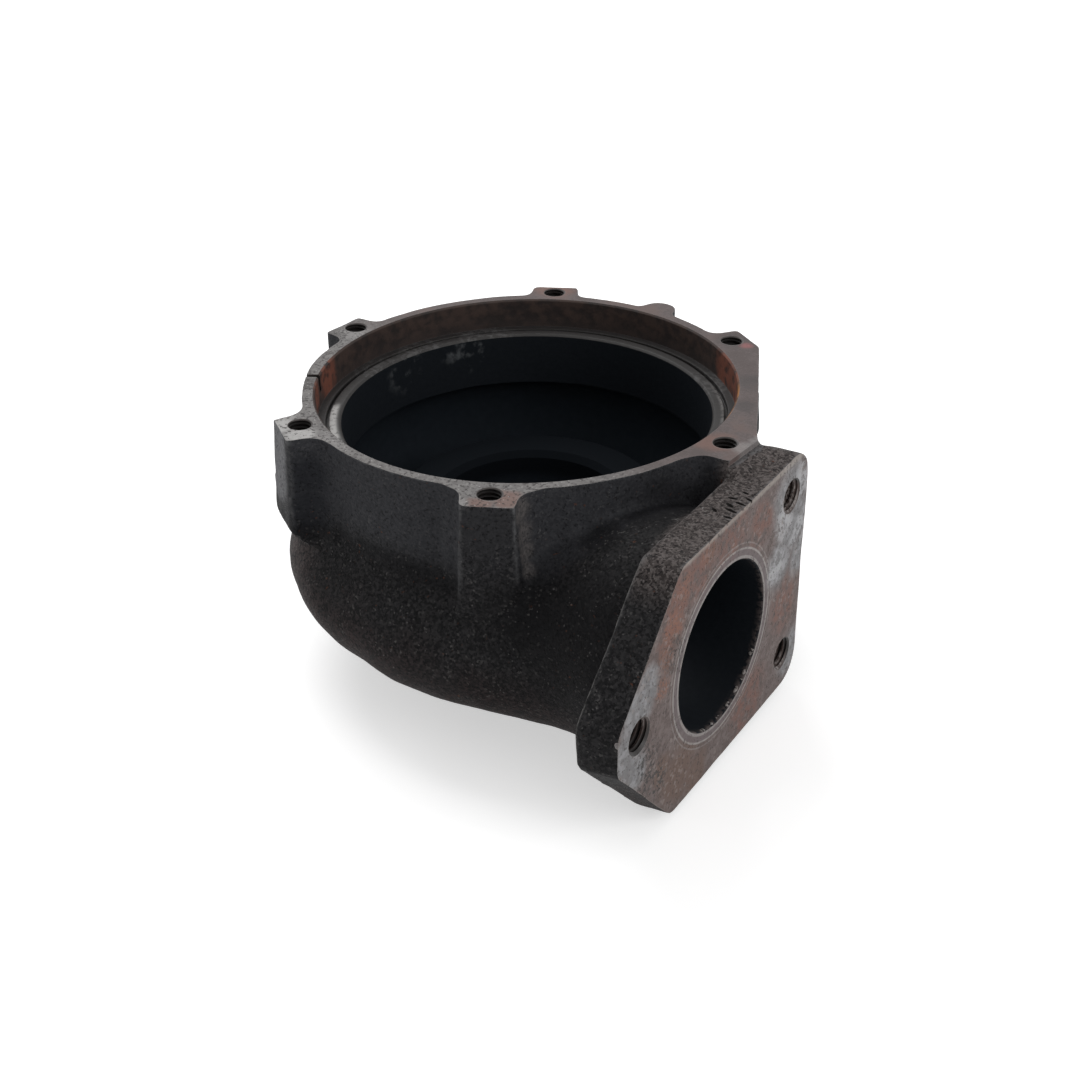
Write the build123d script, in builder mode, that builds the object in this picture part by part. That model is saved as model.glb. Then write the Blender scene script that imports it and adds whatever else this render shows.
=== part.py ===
from build123d import *
from math import cos, radians, sin
import os

# Turbine housing of a turbocharger: a scroll casting with a six-lug rim and a three-hole inlet flange.
# Millimetres. The turbine axis is Z and the outlet face lies on Z = 0. The rim looks up, the inlet along +X.

# Driving dimensions of the rim
total_height = 65.0
pitch_radius = 54.0
rim_outer_radius = 51.8
rim_shift = 1.1
rim_shift_angle = -56.3
register_radius = 48.9
register_depth = 7.4

# Lugs round the rim
lug_angles = (115.6, 175.6, 235.6, 295.6, 355.6, 55.6)
front_lug_angle = 295.6
lug_reach = 58.4
lug_half_width = 5.7
lug_root_half_width = 9.6
lug_root_inset = 1.2
lug_waist_growth = 1.5
lug_waist_reach = 0.3
lug_knee_growth = 0.3
lug_knee_reach = 2.4
lug_bury = 10.0
lug_depth = 27.0
front_lug_depth = 30.0
lug_draft = 3.0
lug_foot_chamfer = 4.5
rim_tap_drill = 5.0
rim_tap_mouth = 5.8
rim_tap_depth = 14.0
ear_angle = 84.6
ear_reach = 58.0
ear_radius = 4.3
ear_depth = 16.0
straight_wall_angle = 25.6
straight_wall_reach = 53.4
straight_wall_half_length = 24.3
straight_wall_depth = 30.0
slot_angle = 207.8
slot_width = 1.4
slot_depth = 4.0

# Chamber behind the rim
lip_inner_radius = 43.4
lip_outer_radius = 46.2
lip_depth = 7.4
groove_width = 0.8
groove_depth = 1.2
chamber_floor_depth = 37.0
shroud_outer_radius = 31.6
shroud_top_depth = 30.5
outlet_radius = 22.0
outlet_mouth_radius = 24.5
outlet_mouth_length = 6.0
collar_radius = 33.0
shroud_lead = 1.5
belly_depth = 45.0
belly_step = 4.0
belly_inset = 7.0
belly_rim_inset = 1.0
collar_fillet_width = 6.0
edge_break = 0.5
clearance = 1.0

# Scroll: the outside of the casting, under the axis on the inlet side and at the tongue
wall = 4.5
throat_reach = 61.2
throat_centre_inset = 19.7
throat_depth = 37.5
throat_bottom_depth = 56.2
throat_shoulder_depth = 16.0
throat_passage_top_depth = 21.6
tongue_reach = 48.5
tongue_passage_reach = 46.5
tongue_centre_radius = 38.0
tongue_depth = 34.0
tongue_bottom_depth = 42.0
tongue_passage_bottom_depth = 39.5
tongue_shoulder_depth = 20.0
tongue_passage_top_depth = 19.5
shoulder_radius = 48.5
inner_side_radius = 24.0
scroll_start = -90.0
scroll_turn = -270.0
scroll_steps = 9
scroll_falloff = 1.8

# Inlet
inlet_face = 68.0
flange_thickness = 9.4
inlet_radius = 18.85
inlet_offset = -29.8
inlet_depth = 32.6
neck_wall = 7.1
neck_length = 22.0
neck_shift = 0.8
neck_drop = 1.0
inlet_passage_start = 16.0
inlet_passage_end = 23.0

# Bend where the neck turns into the scroll
bend_x = 24.0
bend_inset = 3.0
bend_depth = 35.6
bend_heading = 190.0
bend_half_width = 22.4
bend_half_height = 22.2
bend_top_shift = 6.5
bend_top_rise = 22.0
bend_skirt = 0.6
bend_passage_inset = 9.0
bend_passage_depth = 35.8
bend_passage_half_width = 15.2
bend_passage_half_height = 16.2

# Flange of the inlet
flange_right = 38.0
flange_left = -42.9
flange_bevel = -18.8
flange_low_bevel = -21.5
flange_half_height = 29.9
flange_nose_half_height = 4.5
flange_clock = 0.8
flange_corner = 7.0
flange_draft = 1.3
flange_nose_draft = 1.4
flange_small_corner = 3.0
flange_back_round = 1.5
inlet_bore_length = 18.0
flange_hole_right = 30.65
flange_hole_left = -34.8
flange_hole_spread = 20.9
flange_tap_drill = 6.8
flange_tap_mouth = 8.0
flange_tap_depth = 9.7

throat_centre_radius = throat_reach - throat_centre_inset
bend_y = bend_half_width + bend_inset - throat_reach
bend_passage_y = bend_passage_half_width + bend_passage_inset - throat_reach
rim_centre_x = rim_shift * cos(radians(rim_shift_angle))
rim_centre_y = rim_shift * sin(radians(rim_shift_angle))


def level(depth):
    """Height above the outlet face of something that lies this far below the rim face."""
    return total_height - depth


def blend(start, end, share):
    """Value at a share of the way from start to end."""
    return start + (end - start) * share


def section_plane(x, y, depth, heading):
    """Upright plane across the gas path. Its local x points away from the axis, its local y up."""
    along = (cos(radians(heading)), sin(radians(heading)), 0)
    outward = (-along[1], along[0], 0)
    return Plane(origin=(x, y, level(depth)), x_dir=outward, z_dir=along)


def casting_section(plane, top, outer, bottom, inner, skirt):
    """Closed outline through the four extremes of a section.

    With skirt 0 it is an oval. With skirt 1 its upper outside leaves the rim wall straight down
    and swells out to the outer extreme in a soft S, which is the shoulder of the casting.
    """
    half_way = cos(radians(45))
    oval_x = top[0] + (outer[0] - top[0]) * half_way
    oval_y = outer[1] + (top[1] - outer[1]) * half_way
    skirt_x = (top[0] + outer[0]) / 2
    skirt_y = (top[1] + outer[1]) / 2
    shoulder = (blend(oval_x, skirt_x, skirt), blend(oval_y, skirt_y, skirt))
    keel = (
        bottom[0] + (outer[0] - bottom[0]) * half_way,
        outer[1] + (bottom[1] - outer[1]) * half_way,
    )
    heel = (
        bottom[0] + (inner[0] - bottom[0]) * half_way,
        inner[1] + (bottom[1] - inner[1]) * half_way,
    )
    crown = (
        top[0] + (inner[0] - top[0]) * half_way,
        inner[1] + (top[1] - inner[1]) * half_way,
    )
    with BuildSketch(plane) as section:
        with BuildLine():
            Spline(top, shoulder, outer, keel, bottom, heel, inner, crown, periodic=True)
        make_face()
    return section.sketch


def scroll_shares():
    """Share of the turn at each station, and how far the scroll has shrunk there."""
    shares = [step / scroll_steps for step in range(scroll_steps + 1)]
    return [(share, 1 - (1 - share) ** scroll_falloff) for share in shares]


def casting_sections():
    """Outside of the casting from the flange, through the neck and round the turn to the tongue."""
    tube = inlet_radius + neck_wall
    neck_x = inlet_face - neck_length
    approach = (
        (inlet_face - flange_thickness / 2, inlet_offset, inlet_depth, 180.0, tube, tube, 0.0, tube, 0.0),
        (neck_x, inlet_offset - neck_shift, inlet_depth + neck_drop, 180.0, tube, tube, 0.0, tube, 0.0),
        (
            bend_x,
            bend_y,
            bend_depth,
            bend_heading,
            bend_half_width,
            bend_half_height,
            bend_top_shift,
            bend_top_rise,
            bend_skirt,
        ),
    )
    sections = []
    for x, y, depth, heading, half_width, half_height, top_shift, top_rise, skirt in approach:
        sections.append(
            casting_section(
                section_plane(x, y, depth, heading),
                (top_shift, top_rise),
                (half_width, 0),
                (0, -half_height),
                (-half_width, 0),
                skirt,
            )
        )
    for share, shrink in scroll_shares():
        angle = scroll_start + scroll_turn * share
        centre = blend(throat_centre_radius, tongue_centre_radius, shrink)
        depth = blend(throat_depth, tongue_depth, shrink)
        reach = blend(throat_reach, tongue_reach, shrink)
        shoulder_depth = blend(throat_shoulder_depth, tongue_shoulder_depth, shrink)
        bottom_depth = blend(throat_bottom_depth, tongue_bottom_depth, shrink)
        plane = section_plane(centre * cos(radians(angle)), centre * sin(radians(angle)), depth, angle - 90)
        sections.append(
            casting_section(
                plane,
                (min(shoulder_radius, reach) - centre, depth - shoulder_depth),
                (reach - centre, 0),
                (0, depth - bottom_depth),
                (inner_side_radius - centre, 0),
                1.0,
            )
        )
    return sections


def oval(plane, half_width, half_height):
    """Oval outline of the gas passage."""
    with BuildSketch(plane) as outline:
        Ellipse(half_width, half_height)
    return outline.sketch


def passage_sections():
    """Gas passage from the round inlet bore to the tongue."""
    sections = [
        oval(
            section_plane(inlet_face - distance, inlet_offset, inlet_depth, 180.0),
            inlet_radius,
            inlet_radius,
        )
        for distance in (inlet_passage_start, inlet_passage_end)
    ]
    sections.append(
        oval(
            section_plane(bend_x, bend_passage_y, bend_passage_depth, bend_heading),
            bend_passage_half_width,
            bend_passage_half_height,
        )
    )
    for share, shrink in scroll_shares():
        angle = radians(scroll_start + scroll_turn * share)
        outside = blend(throat_reach - wall, tongue_passage_reach, shrink)
        top = blend(throat_passage_top_depth, tongue_passage_top_depth, shrink)
        bottom = blend(throat_bottom_depth - wall, tongue_passage_bottom_depth, shrink)
        centre = (outside + shroud_outer_radius) / 2
        height = (top + bottom) / 2
        heading = scroll_start + scroll_turn * share - 90
        plane = section_plane(centre * cos(angle), centre * sin(angle), height, heading)
        sections.append(oval(plane, (outside - shroud_outer_radius) / 2, (bottom - top) / 2))
    return sections


def lug_outline():
    """Plan of one lug along local x, flared where it grows out of the rim."""
    buried = pitch_radius - lug_bury
    root = (rim_outer_radius - lug_root_inset, lug_root_half_width)
    waist = (rim_outer_radius + lug_waist_reach, lug_half_width + lug_waist_growth)
    knee = (rim_outer_radius + lug_knee_reach, lug_half_width + lug_knee_growth)
    with BuildSketch() as plan:
        with BuildLine() as half:
            Line((buried, 0), (buried, lug_root_half_width))
            Line((buried, lug_root_half_width), root)
            ThreePointArc(root, waist, knee)
            Line(knee, (lug_reach, lug_half_width))
            Line((lug_reach, lug_half_width), (lug_reach, 0))
            mirror(about=Plane.XZ)
        make_face()
    return plan.sketch


def rim_plane(angle=0.0):
    """Plane of the rim face, centred on the slightly shifted cast outline and turned to an angle."""
    turned = (cos(radians(angle)), sin(radians(angle)), 0)
    return Plane(origin=(rim_centre_x, rim_centre_y, total_height), x_dir=turned, z_dir=(0, 0, 1))


flange_tilt = radians(flange_clock)
flange_plane = Plane(
    origin=(inlet_face, inlet_offset, level(inlet_depth)),
    x_dir=(0, cos(flange_tilt), sin(flange_tilt)),
    z_dir=(1, 0, 0),
)

casting_shape = casting_sections()
passage_shape = passage_sections()

# Lugs, made on their own so that their feet can be bevelled
with BuildPart() as lugs:
    for lug_angle in lug_angles:
        with BuildSketch(rim_plane(lug_angle)):
            add(lug_outline())
        extrude(amount=-front_lug_depth if lug_angle == front_lug_angle else -lug_depth, taper=-lug_draft)
    rim_centre = Vector(rim_centre_x, rim_centre_y, 0)
    outer_feet = lugs.edges().filter_by(
        lambda edge: edge.center().Z < level(lug_depth) + clearance
        and 2 * lug_half_width < edge.length < 2 * lug_root_half_width
        and (edge.center() - rim_centre).cross(Vector(0, 0, 1)).length > lug_reach - clearance
    )
    chamfer(outer_feet, length=lug_foot_chamfer)


def flange_outline(plane, nose_growth, foot_growth):
    """Outline of the flange, with how far its nose and its underside stand out beyond the machined face."""
    with BuildSketch(plane) as outline:
        with BuildLine():
            Polyline(
                (flange_right, flange_half_height),
                (flange_bevel, flange_half_height),
                (flange_left - nose_growth, flange_nose_half_height),
                (flange_left - nose_growth, -flange_nose_half_height - foot_growth / 2),
                (flange_low_bevel, -flange_half_height - foot_growth),
                (flange_right, -flange_half_height - foot_growth / 2),
                close=True,
            )
        make_face()
        fillet(outline.vertices().group_by(Axis.X)[-1], radius=flange_corner)
        fillet(outline.vertices().filter_by(lambda corner: corner.X < 0), radius=flange_small_corner)
    return outline.sketch


# Flange of the inlet, with the soft back edge of the casting and a trimmed front edge
with BuildPart() as flange:
    flange_back_plane = flange_plane.offset(-flange_thickness)
    flange_front = flange_outline(flange_plane, 0, 0)
    flange_back = flange_outline(flange_back_plane, flange_nose_draft, flange_draft)
    loft([flange_front, flange_back], ruled=True)
    fillet(flange.faces().sort_by(Axis.X)[0].edges(), radius=flange_back_round)

# Room inside the casting: register bore, ledge with its groove, chamber round the shroud ring, outlet
with BuildPart() as machined_room:
    with BuildSketch(Plane.XZ):
        with BuildLine():
            Polyline(
                (0, total_height + clearance),
                (register_radius, total_height + clearance),
                (register_radius, level(register_depth)),
                (lip_outer_radius + groove_width, level(register_depth)),
                (lip_outer_radius + groove_width, level(register_depth + groove_depth)),
                (lip_outer_radius, level(register_depth + groove_depth)),
                (lip_outer_radius, level(lip_depth)),
                (lip_inner_radius + edge_break, level(lip_depth)),
                (lip_inner_radius, level(lip_depth + edge_break)),
                (lip_inner_radius, level(chamber_floor_depth)),
                (shroud_outer_radius, level(chamber_floor_depth)),
                (shroud_outer_radius, level(shroud_top_depth)),
                (outlet_radius + shroud_lead, level(shroud_top_depth)),
                (outlet_radius, level(shroud_top_depth + shroud_lead)),
                (outlet_radius, level(belly_depth)),
                (outlet_mouth_radius, outlet_mouth_length),
                (outlet_mouth_radius, -clearance),
                (0, -clearance),
                close=True,
            )
        make_face()
    revolve(axis=Axis.Z)

with BuildPart() as turbine_housing:
    # Outside of the scroll and of the inlet neck
    loft(casting_shape)

    # Rim wall, closed underneath and carried down to the outlet collar
    with BuildSketch(Plane.XZ):
        with BuildLine():
            Polyline(
                (0, 0),
                (collar_radius - edge_break, 0),
                (collar_radius, edge_break),
                (collar_radius, level(belly_depth + 2 * belly_step)),
                (collar_radius + collar_fillet_width, level(belly_depth + belly_step)),
                (rim_outer_radius - belly_inset, level(belly_depth)),
                (rim_outer_radius - belly_rim_inset, level(belly_depth - belly_step)),
                (rim_outer_radius, level(belly_depth - 2 * belly_step)),
                (rim_outer_radius, total_height),
                (0, total_height),
                close=True,
            )
        make_face()
    revolve(axis=Axis.Z)

    # Straight wall between the two lugs beside the inlet, and the plain ear
    with BuildSketch(rim_plane(straight_wall_angle)):
        with Locations((straight_wall_reach / 2, 0)):
            Rectangle(straight_wall_reach, 2 * straight_wall_half_length)
    extrude(amount=-straight_wall_depth)
    with BuildSketch(rim_plane(ear_angle)):
        with Locations((ear_reach - ear_radius, 0)):
            Circle(ear_radius)
        with Locations((ear_reach - 2 * ear_radius, 0)):
            Rectangle(2 * ear_radius, 2 * ear_radius)
    extrude(amount=-ear_depth)
    add(lugs.part)
    add(flange.part)

    # Gas passage and machined bores
    loft(passage_shape, mode=Mode.SUBTRACT)
    with BuildSketch(flange_plane):
        Circle(inlet_radius)
    extrude(amount=-inlet_bore_length, mode=Mode.SUBTRACT)
    add(machined_room.part, mode=Mode.SUBTRACT)

    # Tapped holes, drawn at their drill size with a broken mouth
    with Locations(Plane.XY.offset(total_height)):
        with PolarLocations(pitch_radius, len(lug_angles), start_angle=min(lug_angles)):
            CounterSinkHole(rim_tap_drill / 2, rim_tap_mouth / 2, depth=rim_tap_depth)
    with Locations(flange_plane):
        with Locations(
            (flange_hole_right, flange_hole_spread),
            (flange_hole_right, -flange_hole_spread),
            (flange_hole_left, 0),
        ):
            CounterSinkHole(flange_tap_drill / 2, flange_tap_mouth / 2, depth=flange_tap_depth)

    # Saw cut through the rim wall
    with BuildSketch(rim_plane(slot_angle)):
        with Locations((register_radius, 0)):
            Rectangle(4 * (rim_outer_radius - register_radius), slot_width)
    extrude(amount=-slot_depth, mode=Mode.SUBTRACT)

turbine_housing.part.label = "turbine_housing"
os.makedirs("parts", exist_ok=True)
export_step(turbine_housing.part, "parts/turbine_housing.step")
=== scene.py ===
from math import cos, pi, radians, sin

import bmesh
import bpy
from mathutils import Matrix, Vector, noise


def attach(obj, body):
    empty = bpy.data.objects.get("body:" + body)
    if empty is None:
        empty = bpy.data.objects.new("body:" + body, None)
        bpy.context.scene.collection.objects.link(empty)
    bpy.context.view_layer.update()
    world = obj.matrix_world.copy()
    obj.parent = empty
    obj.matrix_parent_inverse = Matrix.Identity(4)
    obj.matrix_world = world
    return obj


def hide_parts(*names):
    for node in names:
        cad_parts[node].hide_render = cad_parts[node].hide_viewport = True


# Turbine housing: the rough casting is softened and given its sandy skin, then machined as the real one is.
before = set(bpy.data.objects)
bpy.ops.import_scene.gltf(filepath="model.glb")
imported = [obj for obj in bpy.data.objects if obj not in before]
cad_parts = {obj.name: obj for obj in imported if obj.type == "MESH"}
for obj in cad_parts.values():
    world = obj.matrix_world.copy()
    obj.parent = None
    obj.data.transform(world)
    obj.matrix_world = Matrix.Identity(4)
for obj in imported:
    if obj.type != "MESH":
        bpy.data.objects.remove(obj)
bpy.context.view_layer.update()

MM = 0.001

# Sizes of the machined places, in millimetres, as the solid has them
TOTAL_HEIGHT = 65.0
REGISTER_RADIUS = 48.9
REGISTER_FLOOR = 57.6
LIP_INNER_RADIUS = 43.4
LIP_OUTER_RADIUS = 46.2
LIP_TOP = 57.6
GROOVE_WIDTH = 0.8
GROOVE_FLOOR = 56.4
LEDGE_FOOT = 55.0
CHAMBER_FLOOR = 28.0
SHROUD_RADIUS = 31.6
SHROUD_TOP = 34.5
OUTLET_RADIUS = 22.0
OUTLET_MOUTH_RADIUS = 24.5
OUTLET_MOUTH_LENGTH = 6.0
BELLY_HEIGHT = 20.0
PITCH_RADIUS = 54.0
LUG_ANGLES = (115.6, 175.6, 235.6, 295.6, 355.6, 55.6)
LUG_HOLE_RADIUS = 2.5
LUG_HOLE_DEPTH = 14.0
LUG_HOLE_TIP = 15.4
LUG_THREAD_RADIUS = 2.98
LUG_THREAD_PITCH = 1.0
LUG_THREAD_DEPTH = 12.0
STEP_ANGLE = LUG_ANGLES[4]
STEP_REACH = 59.1
STEP_FLOOR = 63.7
SLOT_ANGLE = 207.8
SLOT_WIDTH = 1.4
SLOT_DEPTH = 4.0
INLET_FACE = 68.0
INLET_Y = -29.8
INLET_Z = 32.4
INLET_RADIUS = 18.85
INLET_BORE_END = 50.0
FLANGE_THICKNESS = 9.4
FLANGE_CLOCK = 0.8
FLANGE_HOLES = ((30.65, 20.9), (30.65, -20.9), (-34.8, 0.0))
FLANGE_HOLE_RADIUS = 3.4
FLANGE_HOLE_DEPTH = 9.7
FLANGE_THREAD_RADIUS = 4.0
FLANGE_THREAD_PITCH = 1.25
FLANGE_THREAD_DEPTH = 11.0

# How far the tools stand out past what they cut, and how far the facing cuts reach
OVERCUT = 3.0
CLEARANCE = 9.0
FACING = 90.0

# Finishes, in the order of the casting's materials
CAST, RIM, REGISTER, LIP, CHAMBER, FLANGE, BORE, THREAD, SOOT = range(9)

# Camera of the photograph
CAMERA_PLACE = Vector((185.250, -273.394, 220.171)) * MM
CAMERA_AIM = Vector((11.672, -13.126, 32.138)) * MM
CAMERA_ROLL = radians(-1.274)
CAMERA_LENS = 52.106


def photo_camera():
    """Camera that stands where the photograph's did."""
    data = bpy.data.cameras.new("photo_camera")
    data.lens = CAMERA_LENS
    data.sensor_width = 36.0
    data.clip_start = 0.01
    data.clip_end = 20.0
    camera = bpy.data.objects.new("photo_camera", data)
    bpy.context.scene.collection.objects.link(camera)
    way = CAMERA_AIM - CAMERA_PLACE
    turn = way.to_track_quat("-Z", "Y").to_matrix() @ Matrix.Rotation(CAMERA_ROLL, 3, "Z")
    camera.matrix_world = Matrix.Translation(CAMERA_PLACE) @ turn.to_4x4()
    bpy.context.scene.camera = camera


photo_camera()


def finished_mesh(shape, name):
    """Object of a bmesh, at the origin."""
    mesh = bpy.data.meshes.new(name)
    shape.to_mesh(mesh)
    shape.free()
    made = bpy.data.objects.new(name, mesh)
    bpy.context.scene.collection.objects.link(made)
    return made


def turned(profile, steps):
    """Body turned about Z from a half profile of radius and height that starts and ends on the axis."""
    shape = bmesh.new()
    corners = [shape.verts.new((radius * MM, 0, height * MM)) for radius, height in profile]
    edges = [shape.edges.new(pair) for pair in zip(corners, corners[1:])]
    bmesh.ops.spin(
        shape, geom=corners + edges, cent=(0, 0, 0), axis=(0, 0, 1), angle=2 * pi, steps=steps, use_merge=True
    )
    bmesh.ops.remove_doubles(shape, verts=shape.verts, dist=0.01 * MM)
    bmesh.ops.recalc_face_normals(shape, faces=shape.faces)
    return shape


def moved_into(shape, other):
    """Adds another bmesh to this one."""
    carrier = bpy.data.meshes.new("carrier")
    other.to_mesh(carrier)
    other.free()
    shape.from_mesh(carrier)
    bpy.data.meshes.remove(carrier)


def block(low, high):
    """Box between two corners."""
    shape = bmesh.new()
    size = [b - a for a, b in zip(low, high)]
    centre = [(a + b) / 2 for a, b in zip(low, high)]
    place = Matrix.Translation(Vector(centre) * MM) @ Matrix.Diagonal((*[s * MM for s in size], 1))
    bmesh.ops.create_cube(shape, size=1, matrix=place)
    return shape


def rod(radius, low, high, steps):
    """Plain cylinder on Z."""
    return turned([(0, low), (radius, low), (radius, high), (0, high)], steps)


def ring(inner, outer, low, high):
    """Square-edged ring on Z."""
    return turned([(inner, low), (outer, low), (outer, high), (inner, high), (inner, low)], 96)


def inlet_place(across=0.0, up=0.0):
    """Place on the inlet face, its Z square out of the face."""
    tilt = Matrix.Rotation(radians(FLANGE_CLOCK), 4, "X")
    return (
        Matrix.Translation(Vector((INLET_FACE, INLET_Y, INLET_Z)) * MM)
        @ tilt
        @ Matrix.Translation(Vector((0, across, up)) * MM)
        @ Matrix.Rotation(pi / 2, 4, "Y")
    )


def lug_hole_place(angle):
    """Place of a rim hole's mouth."""
    x = PITCH_RADIUS * cos(radians(angle))
    y = PITCH_RADIUS * sin(radians(angle))
    return Matrix.Translation(Vector((x, y, TOTAL_HEIGHT)) * MM)


def modified(piece, kind, **settings):
    """Applies one modifier."""
    modifier = piece.modifiers.new(kind, kind)
    for name, value in settings.items():
        setattr(modifier, name, value)
    bpy.context.view_layer.update()
    depsgraph = bpy.context.evaluated_depsgraph_get()
    mesh = bpy.data.meshes.new_from_object(piece.evaluated_get(depsgraph), depsgraph=depsgraph)
    old = piece.data
    piece.modifiers.clear()
    piece.data = mesh
    bpy.data.meshes.remove(old)


# The blank: the casting before machining, with stock left on every face and hole that is machined later
VOXEL = 1.0
SOFTENING = 2
STOCK = 1.6
TOUCHING = 0.01
LIP_PLUG_FOOT = 44.6
LUG_PLUG_RADIUS = 3.4
LUG_PLUG_DEPTH = 15.0
FLANGE_PLUG_RADIUS = 4.5
SLOT_PLUG = ((44, -1), (51.5, 1))
STEP_PLUG = ((55, -12, 57), (62.5, 0.6, 63.5))


def casting_blank(node):
    """Raw casting with machining stock, remeshed so that its corners and roots are soft."""
    shape = bmesh.new()
    shape.from_mesh(node.data)
    bmesh.ops.remove_doubles(shape, verts=shape.verts, dist=0.02 * MM)
    for vert in shape.verts:
        if vert.co.z > (TOTAL_HEIGHT - TOUCHING) * MM:
            vert.co.z += STOCK * MM
        elif vert.co.z < TOUCHING * MM:
            vert.co.z -= STOCK * MM
        if vert.co.x > (INLET_FACE - TOUCHING) * MM:
            vert.co.x += STOCK * MM
    top = TOTAL_HEIGHT + STOCK
    filling = [
        ring(LIP_INNER_RADIUS - STOCK, REGISTER_RADIUS + STOCK, GROOVE_FLOOR - STOCK, top),
        ring(LIP_INNER_RADIUS - STOCK, LIP_INNER_RADIUS + STOCK, LIP_PLUG_FOOT, top - 1),
        turned(
            [(0, -STOCK), (OUTLET_MOUTH_RADIUS + STOCK, -STOCK), (OUTLET_RADIUS + STOCK, BELLY_HEIGHT),
             (SHROUD_RADIUS, CHAMBER_FLOOR), (SHROUD_RADIUS, SHROUD_TOP + STOCK), (0, SHROUD_TOP + STOCK)], 96
        ),
    ]
    for angle in LUG_ANGLES:
        plug = rod(LUG_PLUG_RADIUS, -LUG_PLUG_DEPTH, STOCK, 24)
        plug.transform(lug_hole_place(angle))
        filling.append(plug)
    for across, up in FLANGE_HOLES:
        plug = rod(FLANGE_PLUG_RADIUS, -FLANGE_THICKNESS + 0.2, STOCK, 24)
        plug.transform(inlet_place(across, up))
        filling.append(plug)
    bore = rod(INLET_RADIUS + STOCK, INLET_BORE_END - INLET_FACE + 0.5, STOCK, 64)
    bore.transform(inlet_place())
    filling.append(bore)
    low, high = SLOT_PLUG
    slot = block((*low, TOTAL_HEIGHT - SLOT_DEPTH - 1), (*high, top))
    slot.transform(Matrix.Rotation(radians(SLOT_ANGLE), 4, "Z"))
    filling.append(slot)
    filling.append(block(*STEP_PLUG))
    for plug in filling:
        moved_into(shape, plug)
    blank = finished_mesh(shape, "casting")
    modified(blank, "REMESH", mode="VOXEL", voxel_size=VOXEL * MM, use_smooth_shade=True)
    return blank


# Where the raw casting is fuller than its drawing: a place, the radius round it, the way out and the most it adds
SWELLS = (
    ((-33, -48, 33), 22, (-0.6, -0.8, 0.1), 1.0),
    ((-20, -56, 23), 17, (-0.4, -0.85, -0.35), 1.0),
    ((5, -59, 17), 18, (0, -0.87, -0.49), 0.6),
    ((20, -56, 16), 14, (0.1, -0.85, -0.5), 0.7),
    ((36, -52, 15), 19, (0.05, -0.78, -0.62), 2.0),
    ((-38, -46, 55), 10, (-0.9, -0.44, 0), 0.4),
    ((-51, -16, 62), 17, (-0.95, -0.3, 0), 0.6),
    ((66, 4, 60), 14, (0, 0.3, 0.95), 0.6),
    ((66, 6, 50), 16, (0, 1, 0), 0.6),
)

# Waviness of the sand mould, in millimetres: size of the waves and how far they move the skin
MOULD_WAVES = ((9.0, 0.16), (3.2, 0.08))


def swell(place, normal):
    """How far the skin stands out at a place, in millimetres."""
    total = 0.0
    for middle, radius, way, most in SWELLS:
        share = 1 - ((place - Vector(middle)).length / radius) ** 2
        if share > 0:
            total += most * share * share * max(0.0, normal.dot(Vector(way)))
    return total


def softened(blank):
    """Evens out the remeshed skin and gives it the slight waves of a sand mould."""
    shape = bmesh.new()
    shape.from_mesh(blank.data)
    for _ in range(SOFTENING):
        bmesh.ops.smooth_vert(
            shape, verts=shape.verts, factor=0.5, use_axis_x=True, use_axis_y=True, use_axis_z=True
        )
    shape.normal_update()
    for vert in shape.verts:
        shift = sum(noise.noise(vert.co / (size * MM)) * height for size, height in MOULD_WAVES)
        shift += swell(vert.co / MM, vert.normal)
        vert.co += vert.normal * shift * MM
    shape.to_mesh(blank.data)
    shape.free()


def cut(casting, shape, finish, operation="DIFFERENCE"):
    """Cuts a shape out of the casting, or joins it on. Its faces' finish is a number, or a rule on the centre."""
    for face in shape.faces:
        face.material_index = finish(face.calc_center_median() / MM) if callable(finish) else finish
    cutter = finished_mesh(shape, "cutter")
    for material in casting.data.materials:
        cutter.data.materials.append(material)
    modified(casting, "BOOLEAN", operation=operation, solver="MANIFOLD", object=cutter, material_mode="INDEX")
    bpy.data.objects.remove(cutter)


def room_finish(centre):
    """Which finish each wall of the machined room has."""
    reach = (centre.x ** 2 + centre.y ** 2) ** 0.5
    if centre.z > REGISTER_FLOOR + 0.1 and reach > LIP_OUTER_RADIUS + 1:
        return REGISTER
    if centre.z > LEDGE_FOOT and reach > LIP_INNER_RADIUS - 0.3:
        return LIP
    if reach < SHROUD_RADIUS + 0.5 or centre.z < CHAMBER_FLOOR:
        return SOOT
    return CHAMBER


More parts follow.
